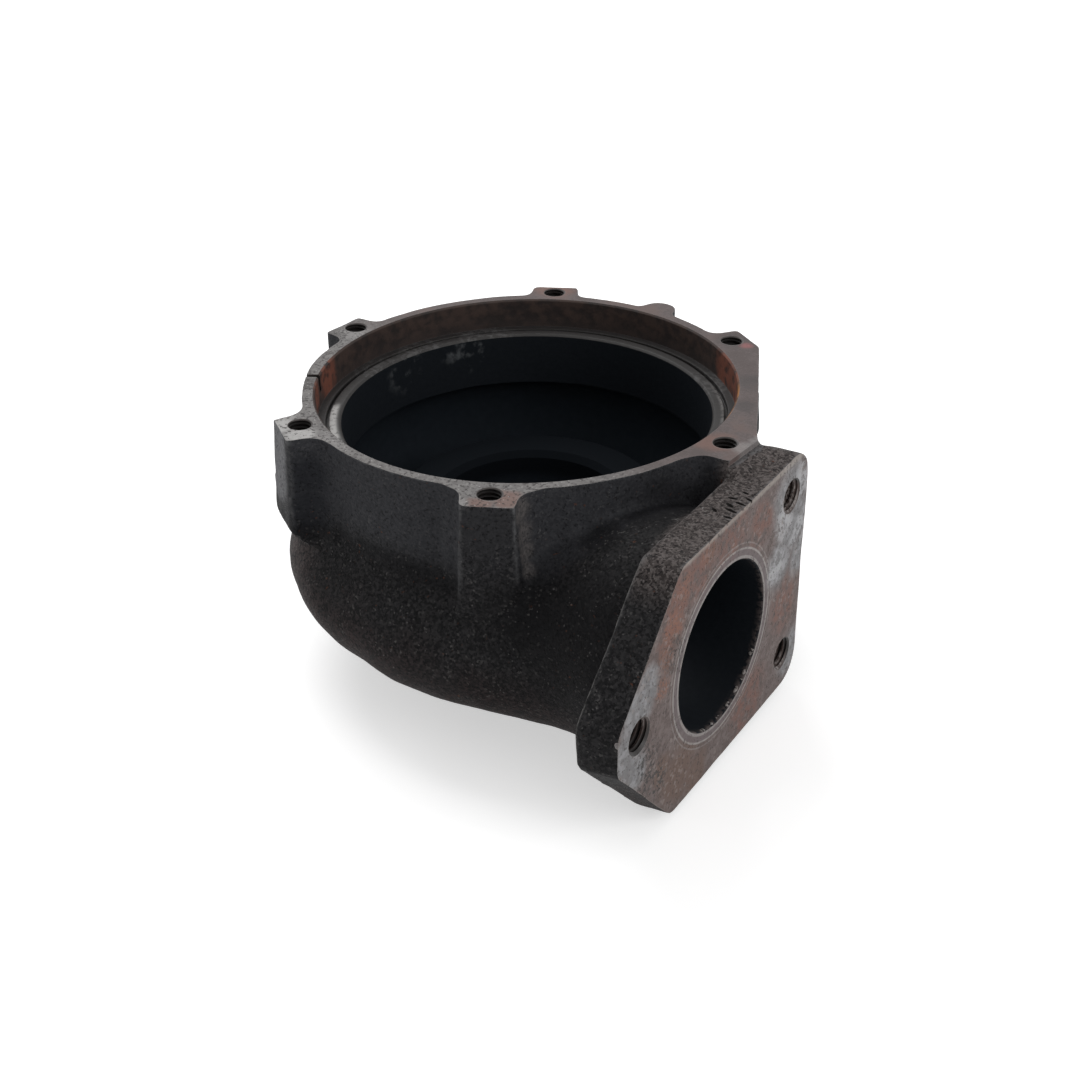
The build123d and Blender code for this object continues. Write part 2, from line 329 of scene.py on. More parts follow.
def machined_room():
    """Register bore, ledge with its groove, chamber round the shroud ring, and the outlet."""
    profile = [
        (0, TOTAL_HEIGHT + OVERCUT),
        (REGISTER_RADIUS + 0.4 + OVERCUT, TOTAL_HEIGHT + OVERCUT),
        (REGISTER_RADIUS, TOTAL_HEIGHT - 0.4),
        (REGISTER_RADIUS, REGISTER_FLOOR),
        (LIP_OUTER_RADIUS + GROOVE_WIDTH, REGISTER_FLOOR),
        (LIP_OUTER_RADIUS + GROOVE_WIDTH, GROOVE_FLOOR),
        (LIP_OUTER_RADIUS, GROOVE_FLOOR),
        (LIP_OUTER_RADIUS, LIP_TOP - 0.2),
        (LIP_OUTER_RADIUS - 0.2, LIP_TOP),
        (LIP_INNER_RADIUS + 0.5, LIP_TOP),
        (LIP_INNER_RADIUS, LIP_TOP - 0.5),
        (LIP_INNER_RADIUS, CHAMBER_FLOOR),
        (SHROUD_RADIUS, CHAMBER_FLOOR),
        (SHROUD_RADIUS, SHROUD_TOP - 0.3),
        (SHROUD_RADIUS - 0.3, SHROUD_TOP),
        (OUTLET_RADIUS + 1.5, SHROUD_TOP),
        (OUTLET_RADIUS, SHROUD_TOP - 1.5),
        (OUTLET_RADIUS, BELLY_HEIGHT),
        (OUTLET_MOUTH_RADIUS, OUTLET_MOUTH_LENGTH),
        (OUTLET_MOUTH_RADIUS, -OVERCUT),
        (0, -OVERCUT),
    ]
    return turned(profile, 192)


THREAD_STEPS = 24


def thread_cutter(minor, major, pitch, low, high):
    """Helical ridge that cuts a thread into a drilled hole, in this many steps a turn."""
    shape = bmesh.new()
    foot = minor - 0.15
    foot_half = 0.44 * pitch
    tip_half = 0.06 * pitch
    corners = [(foot, -foot_half), (foot, foot_half), (major, tip_half), (major, -tip_half)]
    ridge = shape.faces.new([shape.verts.new((radius * MM, 0, (low + up) * MM)) for radius, up in corners])
    turns = (high - low) / pitch
    steps = round(turns * THREAD_STEPS)
    bmesh.ops.spin(
        shape,
        geom=[*shape.verts, *shape.edges, ridge],
        cent=(0, 0, 0),
        axis=(0, 0, 1),
        dvec=(0, 0, (high - low) / steps * MM),
        angle=2 * pi * turns,
        steps=steps,
    )
    bmesh.ops.recalc_face_normals(shape, faces=shape.faces)
    return shape


def tapped(casting, place, drill, thread):
    """Cuts a drilled hole and then its thread."""
    for tool in (drill, thread):
        tool.transform(place)
        cut(casting, tool, THREAD)


def machined(casting):
    """Faces, bores and holes, cut one after another as on a lathe and a drill."""
    over = TOTAL_HEIGHT + CLEARANCE
    cut(casting, block((-FACING, -FACING, TOTAL_HEIGHT), (FACING, FACING, over)), RIM)
    cut(casting, block((-FACING, -FACING, -CLEARANCE), (FACING, FACING, 0)), RIM)
    cut(casting, block((INLET_FACE, -FACING, -CLEARANCE), (INLET_FACE + CLEARANCE, FACING, over)), FLANGE)
    step = block((STEP_REACH, -CLEARANCE, STEP_FLOOR), (STEP_REACH + 6, CLEARANCE, over))
    step.transform(Matrix.Rotation(radians(STEP_ANGLE), 4, "Z"))
    cut(casting, step, lambda centre: RIM if centre.z > STEP_FLOOR + 1 else CAST)
    cut(casting, machined_room(), room_finish)
    bore_end = INLET_BORE_END - INLET_FACE
    bore = turned(
        [(0, bore_end), (INLET_RADIUS, bore_end), (INLET_RADIUS, -8), (INLET_RADIUS, -1.6), (INLET_RADIUS, -0.3),
         (INLET_RADIUS + 0.3 + OVERCUT, OVERCUT), (0, OVERCUT)], 128
    )
    bore.transform(inlet_place())
    cut(casting, bore, BORE)
    radius, tip, depth = LUG_HOLE_RADIUS, -LUG_HOLE_TIP, -LUG_HOLE_DEPTH
    for angle in LUG_ANGLES:
        drill = turned([(0, tip), (radius, depth), (radius, -0.25), (2.75 + OVERCUT, OVERCUT), (0, OVERCUT)], 40)
        thread = thread_cutter(radius, LUG_THREAD_RADIUS, LUG_THREAD_PITCH, -LUG_THREAD_DEPTH, 0.6)
        tapped(casting, lug_hole_place(angle), drill, thread)
    radius, depth = FLANGE_HOLE_RADIUS, -FLANGE_HOLE_DEPTH
    for across, up in FLANGE_HOLES:
        drill = turned([(0, depth), (radius, depth), (radius, -0.7), (4.1 + OVERCUT, OVERCUT), (0, OVERCUT)], 48)
        thread = thread_cutter(radius, FLANGE_THREAD_RADIUS, FLANGE_THREAD_PITCH, -FLANGE_THREAD_DEPTH, 0.8)
        tapped(casting, inlet_place(across, up), drill, thread)
    low, high = (REGISTER_RADIUS - 3, -SLOT_WIDTH / 2), (60, SLOT_WIDTH / 2)
    slot = block((*low, TOTAL_HEIGHT - SLOT_DEPTH), (*high, over))
    slot.transform(Matrix.Rotation(radians(SLOT_ANGLE), 4, "Z"))
    # The saw cut takes the thread finish, whose dark is painted shade
    cut(casting, slot, THREAD)


# Gouges in the top side of the flange: x, y, length and width in millimetres, turn in degrees
GOUGE_HEIGHT = 62.6
GOUGE_DEPTH = 1.1
GOUGES = (
    (66.2, -25.4, 3.4, 0.9, -14), (65.0, -23.6, 2.4, 1.0, -26), (66.6, -22.0, 2.8, 0.8, -8),
    (67.4, -19.6, 2.0, 0.7, -20), (64.2, -20.8, 2.2, 0.8, 6), (63.2, -26.8, 2.0, 0.9, -34),
    (65.6, -17.6, 1.8, 0.7, -12), (66.9, -28.2, 2.2, 0.8, -2),
)


def gouged(casting):
    """Short cuts left in the flange's top side by rough handling."""
    for x, y, length, width, turn in GOUGES:
        gouge = bmesh.new()
        place = (
            Matrix.Translation(Vector((x, y, GOUGE_HEIGHT)) * MM)
            @ Matrix.Rotation(radians(turn), 4, "Z")
            @ Matrix.Diagonal((length / 2, width / 2, GOUGE_DEPTH, 1))
        )
        bmesh.ops.create_icosphere(gouge, subdivisions=2, radius=MM, matrix=place)
        # The gouges take the thread finish, whose dark is painted shade
        cut(casting, gouge, THREAD)


# Crumbs of scale on the inlet face at the bore's lower edge: place round the bore in degrees, size in millimetres
FLAKES = (
    (-114, 0.45), (-111, 0.3), (-99, 0.5), (-91, 0.35), (-89, 0.25), (-77, 0.55), (-75, 0.4), (-64, 0.7),
    (-62, 0.45), (-55, 0.3), (-50, 0.65), (-37, 0.55), (-34, 0.35),
)
FLAKE_MARGIN = 0.03
FLAKE_SEED = 5

# Chip in the flange's nose
CHIP = Vector((68.3, -73.3, 35.1))
CHIP_RADIUS = 1.1


def flaked(casting):
    """Crumbs of scale along the bore's edge, sunk below the inlet face, and a chip out of the flange's nose."""
    noise.seed_set(FLAKE_SEED)
    flakes = bmesh.new()
    reach = INLET_RADIUS + 0.15
    for angle, size in FLAKES:
        turn = radians(angle)
        place = (
            Matrix.Translation(Vector((-reach * sin(turn), reach * cos(turn), -0.5)) * MM)
            @ Matrix.Rotation(turn, 4, "Z")
            @ Matrix.Diagonal((size, size * 0.7, 0.35, 1))
        )
        bmesh.ops.create_icosphere(flakes, subdivisions=2, radius=MM, matrix=place)
    for vert in flakes.verts:
        vert.co += noise.noise_vector(vert.co / (0.45 * MM)) * 0.22 * MM
        vert.co.z = min(vert.co.z, -FLAKE_MARGIN * MM)
    flakes.transform(inlet_place())
    cut(casting, flakes, FLANGE, "UNION")
    chip = bmesh.new()
    bmesh.ops.create_icosphere(chip, subdivisions=2, radius=CHIP_RADIUS * MM, matrix=Matrix.Translation(CHIP * MM))
    cut(casting, chip, FLANGE)


# Gas passage: its heights, the throat's middle line along X and the scroll's round Z, and the room round each
PASSAGE_LOW = 7
PASSAGE_HIGH = 50
THROAT_Y = INLET_Y - 2
THROAT_Z = INLET_Z - 1
THROAT_ROOM = 22
SCROLL_RADIUS = 43
SCROLL_Z = 31
SCROLL_ROOM = 20
SCROLL_REACH = 59


def looks_inward(face):
    """Whether a cast face lines the gas passage: it faces the passage's middle, as the outside never does."""
    centre = face.calc_center_median() / MM
    flat = Vector((centre.x, centre.y, 0))
    if centre.x > 20 and centre.y < -8 and flat.length > 44:
        middle = Vector((centre.x, THROAT_Y, THROAT_Z))
        room = THROAT_ROOM
    else:
        middle = flat.normalized() * SCROLL_RADIUS + Vector((0, 0, SCROLL_Z))
        room = SCROLL_ROOM if flat.length < SCROLL_REACH else 0
    inward = middle - centre
    return PASSAGE_LOW <= centre.z <= PASSAGE_HIGH and inward.length < room and face.normal.dot(inward) > 0


# Shorter edges than the first are closed up, thinner faces than the second go, and sharper bends stay hard
SHORTEST_EDGE = 0.003
THINNEST_FACE = 0.001
HARD_BEND = radians(32)


def crisp_edges(casting):
    """Smooth skin with hard edges where a tool has cut it."""
    shape = bmesh.new()
    shape.from_mesh(casting.data)
    bmesh.ops.remove_doubles(shape, verts=shape.verts, dist=SHORTEST_EDGE * MM)
    bmesh.ops.dissolve_degenerate(shape, dist=THINNEST_FACE * MM, edges=shape.edges)
    for face in shape.faces:
        face.smooth = True
        if face.material_index == CAST and looks_inward(face):
            face.material_index = SOOT
    for edge in shape.edges:
        faces = edge.link_faces
        if len(faces) == 2 and (
            faces[0].material_index != faces[1].material_index or edge.calc_face_angle(0) > HARD_BEND
        ):
            edge.smooth = False
    shape.to_mesh(casting.data)
    shape.free()


class Link:
    """An output of a node in an expression: + - * / and ** on it add the Math nodes."""

    def __init__(self, nodes, made, output):
        self.nodes = nodes
        self.made = made
        self.output = output

    @property
    def socket(self):
        return self.made.outputs[self.output]

    def beside(self, output):
        """Another output of the same node."""
        return Link(self.nodes, self.made, output)

    def maths(self, operation, *values):
        return self.nodes.node("ShaderNodeMath", {"operation": operation}, dict(enumerate(values)))

    def __add__(self, other):
        return self.maths("ADD", self, other)

    def __radd__(self, other):
        return self.maths("ADD", other, self)

    def __sub__(self, other):
        return self.maths("SUBTRACT", self, other)

    def __rsub__(self, other):
        return self.maths("SUBTRACT", other, self)

    def __mul__(self, other):
        return self.maths("MULTIPLY", self, other)

    def __rmul__(self, other):
        return self.maths("MULTIPLY", other, self)

    def __truediv__(self, other):
        return self.maths("DIVIDE", self, other)

    def __pow__(self, other):
        return self.maths("POWER", self, other)

    def over(self, other):
        """The larger of the two."""
        return self.maths("MAXIMUM", self, other)


class Nodes:
    """A node tree, emptied first. Every node in it comes from one method."""

    def __init__(self, tree):
        self.tree = tree
        tree.nodes.clear()

    def node(self, kind, settings=None, inputs=None, output=0):
        """Makes a node: first its settings, then the values and links of its sockets."""
        made = self.tree.nodes.new(kind)
        for name, value in (settings or {}).items():
            setattr(made, name, value)
        for socket, value in (inputs or {}).items():
            if isinstance(value, Link):
                self.tree.links.new(value.socket, made.inputs[socket])
            else:
                made.inputs[socket].default_value = value
        return Link(self, made, output)

    def seen(self):
        """1 for the camera's rays and for those that reflections and glass send on, 0 for all others."""
        rays = self.node("ShaderNodeLightPath", output="Is Camera Ray")
        return rays.over(rays.beside("Is Glossy Ray")).over(rays.beside("Is Transmission Ray"))


class Finish(Nodes):
    """Material of one finish. Its lengths are in millimetres, and its colours go through Mix."""

    def __init__(self, name, specular):
        self.material = bpy.data.materials.new(name)
        self.material.use_nodes = True
        super().__init__(self.material.node_tree)
        self.specular = specular
        self.place = self.node("ShaderNodeTexCoord", output="Object")
        apart = self.node("ShaderNodeSeparateXYZ", inputs={0: self.place})
        self.x, self.y, self.z = (apart.beside(axis) / MM for axis in "XYZ")
        self.reach = (self.x * self.x + self.y * self.y) ** 0.5

    def feed(self, **sockets):
        """Makes the shader from its sockets' names and values, and gives it to the surface."""
        inputs = {"Specular IOR Level": self.specular}
        for name, value in sockets.items():
            inputs[name.replace("_", " ")] = value
        shader = self.node("ShaderNodeBsdfPrincipled", inputs=inputs)
        self.node("ShaderNodeOutputMaterial", inputs={"Surface": shader})

    def noise(self, size, detail=3.0, roughness=0.55, place=None):
        """Cloudy pattern whose features are about this many millimetres."""
        return self.node(
            "ShaderNodeTexNoise",
            inputs={
                "Vector": place or self.place,
                "Scale": 1 / (size * MM),
                "Detail": detail,
                "Roughness": roughness,
            },
        )

    def cells(self, size, output, place=None):
        """Points scattered this many millimetres apart: the distance to the nearest one, or its tint."""
        inputs = {"Vector": place or self.place, "Scale": 1 / (size * MM)}
        return self.node("ShaderNodeTexVoronoi", inputs=inputs, output=output)

    def grains(self, size, place=None):
        """A random number for each grain of this many millimetres."""
        return self.node("ShaderNodeSeparateColor", inputs={0: self.cells(size, "Color", place)})

    def rise(self, value, low, high):
        """0 below low, 1 above high and a soft rise between. With low above high it falls."""
        return self.node(
            "ShaderNodeMapRange",
            {"interpolation_type": "SMOOTHSTEP"},
            {"Value": value, "From Min": low, "From Max": high},
        )

    def mix(self, first, second, share):
        """Colour between two colours."""
        first = first if isinstance(first, Link) else (*first, 1)
        second = second if isinstance(second, Link) else (*second, 1)
        return self.node("ShaderNodeMix", {"data_type": "RGBA"}, {0: share, 6: first, 7: second}, output=2)

    def vector_maths(self, operation, inputs, output=0):
        """One Vector Math node."""
        return self.node("ShaderNodeVectorMath", {"operation": operation}, inputs, output)

    def shifted(self, size, amount):
        """Place pushed about by a soft pattern, so that edges of patches run uneven."""
        pattern = {"Vector": self.place, "Scale": 1 / (size * MM)}
        push = self.node("ShaderNodeTexNoise", inputs=pattern, output="Color")
        centred = self.vector_maths("SUBTRACT", {0: push, 1: (0.5, 0.5, 0.5)})
        scaled = self.vector_maths("SCALE", {0: centred, "Scale": amount * MM})
        return self.vector_maths("ADD", {0: self.place, 1: scaled})

    def patch(self, spot, radius, soft, place):
        """1 at a spot and 0 beyond a radius."""
        middle = tuple(c * MM for c in spot)
        away = self.vector_maths("DISTANCE", {0: place, 1: middle}, "Value")
        return self.rise(away / MM, radius, radius * (1 - soft))

    def patches(self, spots, place, soft=0.6):
        """1 in any of several round patches, each given as x, y, z and radius."""
        mask = 0.0
        for *spot, radius in spots:
            mask = self.patch(spot, radius, soft, place).over(mask)
        return mask

    def off_axis(self, y, z):
        """Distance from the line along X through y and z."""
        across = self.y - y
        up = self.z - z
        return (across * across + up * up) ** 0.5

    def pointed(self, low, high):
        """1 on outward corners of the cast skin."""
        return self.rise(self.node("ShaderNodeNewGeometry", output="Pointiness"), low, high)

    def relief(self, height, depth, normal=None):
        """Normal of a surface raised by a height from 0 to 1 times a depth."""
        inputs = {"Height": height, "Distance": depth * MM, "Strength": 1.0}
        if normal:
            inputs["Normal"] = normal
        return self.node("ShaderNodeBump", inputs=inputs)

    def rounded(self, radius):
        """Normal that turns softly over sharp edges."""
        return self.node("ShaderNodeBevel", {"samples": 6}, {"Radius": radius * MM})

    def worn_edge(self, radius):
        """1 on the sharp edges, 0 on the flats."""
        true = self.node("ShaderNodeNewGeometry", output="Normal")
        same = self.vector_maths("DOT_PRODUCT", {0: self.rounded(radius), 1: true}, "Value")
        return self.rise(same, 0.995, 0.86)

    def round_place(self):
        """Place rolled out round the turbine axis: reach, arc at a reach of 45 mm, and height."""
        angle = self.node("ShaderNodeMath", {"operation": "ARCTAN2"}, {0: self.y, 1: self.x})
        rolled = {0: self.reach * MM, 1: angle * (45 * MM), 2: self.z * MM}
        return self.node("ShaderNodeCombineXYZ", inputs=rolled)


# The finishes. Patches lie where the photograph shows them, each x, y, z and radius in millimetres
def rough_cast_skin():
    """Sand-cast skin: grey on the rim's wall, sooty below, pale and rough on the flange's top edge; painted shade
    on the neck and in the front shoulder, painted light at the left.
    """
    skin = Finish("rough_cast_skin", specular=0.07)
    fine = skin.noise(0.45, detail=3, roughness=0.75)
    lumps = skin.noise(1.5, detail=4, roughness=0.7)
    cloud = skin.noise(11, detail=3)
    sand = skin.grains(0.5, skin.shifted(0.9, 0.5))
    smooth = skin.patches(
        [(25, -54, 60, 11), (-22, -53, 52, 14), (-36, -48, 55, 10)], skin.shifted(5, 4), 0.7
    )
    share = skin.rise(lumps * 0.4 + fine * 0.3 + sand * 0.3, 0.36, 0.66)
    wall = skin.rise(skin.z + cloud * 8, 45, 55) * skin.rise(skin.reach, 62, 57)
    smooth = smooth.over(wall * 0.75)
    share = share * (1 - smooth * 0.6) + smooth * 0.33
    flange_top = skin.rise(skin.z, 54, 61) * skin.rise(skin.x, 55, 58.5)
    low = skin.rise(skin.z + cloud * 20 + skin.x * 0.15, 48, 24)

    colour = skin.mix((0.006, 0.006, 0.0065), (0.026, 0.025, 0.026), share)
    brown = skin.mix((0.006, 0.0044, 0.0044), (0.03, 0.0185, 0.0178), share)
    colour = skin.mix(colour, brown, low)
    grey = skin.mix((0.022, 0.0225, 0.0255), (0.047, 0.0475, 0.052), share)
    colour = skin.mix(colour, grey, wall)
    ash = skin.mix((0.03, 0.025, 0.024), (0.118, 0.102, 0.098), share)
    colour = skin.mix(colour, ash, flange_top)
    column = skin.patches(
        [(30.2, -47.3, 62, 4.2), (30.4, -47.2, 57, 4), (30.6, -47, 52.5, 3.6), (31, -47.2, 48.5, 2.6)],
        skin.shifted(3, 1.5),
    )
    colour = skin.mix(colour, (0.11, 0.1, 0.097), column * (share * 0.8 + 0.2))
    # Painted shade: a dark band in the hollow of the shoulder under the rim wall, at the front
    level = skin.z + cloud * 4
    shoulder_shade = skin.rise(level, 41.5, 44.5) * skin.rise(level, 48.5, 45.5) * skin.rise(skin.y, -34, -44)
    colour = skin.mix(colour, (0.005, 0.005, 0.006), shoulder_shade * (1 - column) * skin.rise(skin.x, 20, 15) * 0.6)
    # Painted light on the body under the left lug, where the light from the left falls
    lit = skin.patches([(-37, -49, 54, 10), (-36, -49, 61, 9)], skin.shifted(3, 2), 0.4)
    lit = lit * skin.rise(skin.z, 44, 50)
    colour = skin.mix(colour, (0.19, 0.19, 0.2), lit * (share * 0.5 + 0.45))
    stain = skin.patches([(-25, -49, 56, 7), (-24, -51, 48, 7)], skin.shifted(4, 2))
    colour = skin.mix(colour, (0.008, 0.009, 0.012), stain * 0.6)
    # Pinkish tone at the lower left, with painted light where the light from the left and off the white floor
    # falls
    rosy_and_lit = skin.patches([(-31, -47, 32, 11), (-39, -38, 30, 12), (-24, -52, 24, 10)], skin.shifted(7, 6), 0.8)
    colour = skin.mix(colour, (0.072, 0.054, 0.052), rosy_and_lit * (share * 0.7 + 0.1))
    shade = skin.patches(
        [(49, -47, 38, 26), (54, -24, 56, 14), (36, -53, 41, 15), (51, -31, 58, 11), (45, -37, 55, 9)],
        skin.shifted(8, 6),
        0.8,
    )
    colour = skin.mix(colour, (0.0035, 0.0033, 0.004), shade * 0.8 * (1 - flange_top))

    pits = skin.rise(skin.noise(0.8, detail=2, place=skin.shifted(2, 0.8)), 0.6, 0.66)
    pits = pits * (1 - wall * 0.35)
    colour = skin.mix(colour, (0.004, 0.004, 0.0045), pits * 0.75)
    patchy = skin.rise(skin.noise(4, detail=3), 0.36, 0.62)
    bare = skin.rise(sand, 0.91, 0.98) * patchy * (1 - smooth * 0.7) * (1 - shade * 0.5)
    bright = skin.patches(
        [(36, -44, 60, 10), (44, -36, 60, 9), (34, -49, 42, 6), (62, -25, 62, 12)], skin.shifted(4, 4)
    )
    bright = bright.over(column)
    colour = skin.mix(colour, (0.13, 0.125, 0.12), bare * (0.28 + bright * 0.5))
    glint = skin.rise(skin.grains(0.34), 0.98, 0.988) * patchy * (1 - smooth)
    colour = skin.mix(colour, (0.25, 0.24, 0.235), glint * (0.25 + bright * 0.4))
    rust = skin.rise(skin.noise(1.3, detail=3, place=skin.shifted(6, 3)), 0.66, 0.74)
    rust = rust * skin.rise(cloud, 0.48, 0.58)
    colour = skin.mix(colour, (0.1, 0.04, 0.022), rust * 0.6)
    worn = skin.pointed(0.518, 0.56) * skin.rise(lumps, 0.3, 0.55) * skin.rise(skin.z, 42, 48)
    colour = skin.mix(colour, (0.17, 0.17, 0.175), worn * 0.6)
    # Lighter line along the flange's back edge: edge wear, with a painted highlight on the edge
    brink = skin.rise(skin.x, 58.3, 58.7) * skin.rise(skin.x, 59.5, 59.0)
    brink = brink * skin.rise(skin.off_axis(INLET_Y, INLET_Z), 24.5, 26) * skin.rise(skin.y, -10, -14)
    colour = skin.mix(colour, (0.16, 0.155, 0.15), brink * skin.rise(lumps, 0.35, 0.55) * 0.6)

    raised = lumps * 0.5 + fine * 0.4 - pits * 0.6 + bare * 0.3 + sand * 0.15
    relief = skin.relief(raised * (1 + flange_top * 0.7) * (1 - smooth * 0.35), 0.36)
    skin.feed(Base_Color=colour, Roughness=0.45 + fine * 0.3, Normal=relief)
    return skin.material


def weathered_rim():
    """Machined rim face and outlet face, gone grey and clouded with brown, pitted along the front."""
    rim = Finish("weathered_rim", specular=0.25)
    cloud = rim.noise(10, detail=3)
    grain = rim.noise(0.7, detail=3, roughness=0.7)
    uneven = rim.shifted(5, 4)
    colour = rim.mix((0.08, 0.063, 0.061), (0.122, 0.1, 0.098), rim.rise(grain * 0.5 + cloud * 0.5, 0.4, 0.6))
    colour = rim.mix(colour, (0.115, 0.075, 0.065), rim.rise(cloud, 0.48, 0.62) * 0.5)
    front = rim.rise(rim.y + rim.x * 0.35, 0, -22)
    silver = rim.mix((0.12, 0.115, 0.113), (0.2, 0.195, 0.19), rim.grains(0.8, rim.shifted(1.2, 0.5)))
    colour = rim.mix(colour, silver, front * 0.85)
    pink = rim.patches([(28, -49, 65, 4.5), (24, -53, 65, 3.5), (52, -5, 65, 6), (-24, 50, 65, 7)], uneven)
    colour = rim.mix(colour, (0.165, 0.095, 0.078), pink * 0.75)
    # Pale worn patches; the first two, on the corner of the step by the flange, are a painted highlight
    pale = rim.patches(
        [(59.3, -4, 64.2, 4.5), (59.5, 0, 64.2, 3), (-36, -45, 65, 7), (-20, -50, 65, 8), (-52, 1, 65, 5),
         (20, -55, 65, 3)], uneven
    )
    colour = rim.mix(colour, (0.27, 0.26, 0.255), pale * (0.2 + grain * 0.6))
    # Painted highlight on the rim face round the left lug, where the light from the left falls
    bright = rim.patches([(-34, -48, 65, 5), (-38, -43, 65, 5), (-27, -49, 65, 5)], uneven)
    colour = rim.mix(colour, (0.48, 0.47, 0.46), bright * (0.3 + grain * 0.7))
    dull = rim.patches(
        [(46, 26, 65, 6), (50, 14, 65, 4), (-57, -4, 65, 5), (31, 46, 65, 7), (-44, -28, 65, 6)], uneven
    )
    colour = rim.mix(colour, (0.05, 0.045, 0.045), dull * 0.6)
    red = rim.patch((35, 43.5, 65), 2.4, 0.8, rim.shifted(2, 1))
    colour = rim.mix(colour, (0.32, 0.12, 0.12), red * 0.6)
    pits = rim.rise(rim.noise(0.75, detail=2, place=rim.shifted(2, 0.7)), 0.57, 0.63) * (0.15 + front * 0.85)
    colour = rim.mix(colour, (0.035, 0.03, 0.03), pits * 0.8)
    glints = rim.rise(rim.cells(1.1, "Distance"), 0.22, 0.1) * front
    colour = rim.mix(colour, (0.4, 0.39, 0.38), glints * 0.6)
    colour = rim.mix(colour, (0.3, 0.285, 0.28), rim.worn_edge(0.35) * 0.5)
    relief = rim.relief(grain * 0.4 - pits, 0.14, rim.rounded(0.3))
    rim.feed(Base_Color=colour, Roughness=0.5 + grain * 0.3, Normal=relief)
    return rim.material


def rusty_register():
    """Bore wall under the rim face, brown with rust, orange where water has stood."""
    wall = Finish("rusty_register", specular=0.3)
    streak = wall.noise(2.2, detail=4, place=wall.round_place())
    cloud = wall.noise(9, detail=3)
    uneven = wall.shifted(4, 5)
    rusted = wall.rise(streak * 0.6 + cloud * 0.4, 0.38, 0.6)
    colour = wall.mix((0.015, 0.0105, 0.0098), (0.043, 0.027, 0.022), rusted)
    deep = wall.rise(wall.z, 62, 58)
    colour = wall.mix(colour, (0.022, 0.017, 0.016), deep * 0.55)
    red = wall.patches([(34, 35, 62, 8), (40, 28, 62, 8), (-45.5, -17, 62, 7), (-41, -27, 62, 5)], uneven)
    colour = wall.mix(colour, (0.17, 0.058, 0.036), red * wall.rise(streak, 0.3, 0.55) * 0.85)
    orange = wall.patches([(45, 19, 65, 9), (47.5, 11, 65, 6)], uneven, 0.9)
    orange = orange * wall.rise(wall.z + streak * 3, 62, 65.5)
    colour = wall.mix(colour, (0.3, 0.12, 0.03), orange * wall.rise(cloud, 0.35, 0.55) * 0.9)
    relief = wall.relief(streak, 0.12, wall.rounded(0.25))
    wall.feed(Base_Color=colour, Roughness=0.55 + streak * 0.2, Normal=relief)
    return wall.material


def worn_and_lit_lip():
    """Ledge and lip ring: dark, rubbed bright at the left and along the right, with a painted highlight over the
    rubbed places.
    """
    lip = Finish("worn_and_lit_lip", specular=0.3)
    grain = lip.noise(1.6, detail=4, roughness=0.65)
    colour = lip.mix((0.014, 0.013, 0.013), (0.032, 0.029, 0.028), grain)
    uneven = lip.shifted(5, 3)
    ring = lip.rise(lip.reach, 46.6, 46.0)
    crown = ring * lip.rise(lip.reach, 44.0, 45.0)
    # Worn bright crown at the left, with a painted highlight on it
    left = lip.patches([(-38, -26, 57.6, 7), (-33, -32, 57.6, 8), (-25, -38, 57.6, 8)], uneven) * crown
    colour = lip.mix(colour, (0.42, 0.41, 0.4), left * lip.rise(grain, 0.3, 0.5) * 0.9)
    # Worn lighter outer edge at the right, with painted light on it
    edge = lip.rise(lip.reach, 45.0, 45.8) * ring
    right = lip.patches([(44, 14, 57.6, 12), (46, 2, 57.6, 10), (36, 28, 57.6, 10)], uneven) * edge
    colour = lip.mix(colour, (0.16, 0.155, 0.15), right * lip.rise(grain, 0.35, 0.55) * 0.9)
    back = lip.patches([(-41, 14, 57.6, 9), (-33, 30, 57.6, 9), (-44, 0, 57.6, 8), (30, 34, 57.6, 9)], uneven)
    colour = lip.mix(colour, (0.07, 0.068, 0.068), back * lip.rise(grain, 0.45, 0.6) * 0.8)
    lip.feed(Base_Color=colour, Roughness=0.55, Normal=lip.relief(grain, 0.06, lip.rounded(0.4)))
    return lip.material


def sooty_chamber():
    """Wall of the chamber, blue-black with soot."""
    wall = Finish("sooty_chamber", specular=0.04)
    grain = wall.noise(1.2, detail=3)
    colour = wall.mix((0.0078, 0.0095, 0.012), (0.0125, 0.0148, 0.018), grain)
    smear = wall.rise(wall.noise(4, detail=4, place=wall.round_place()), 0.5, 0.66)
    smear = smear * wall.patches([(-35, 25, 55, 8), (-42, 8, 54, 7), (43, -4, 54, 5)], wall.shifted(5, 4))
    colour = wall.mix(colour, (0.09, 0.095, 0.1), smear * 0.8)
    wall.feed(Base_Color=colour, Roughness=0.65, Normal=wall.relief(grain, 0.06, wall.rounded(0.25)))
    return wall.material


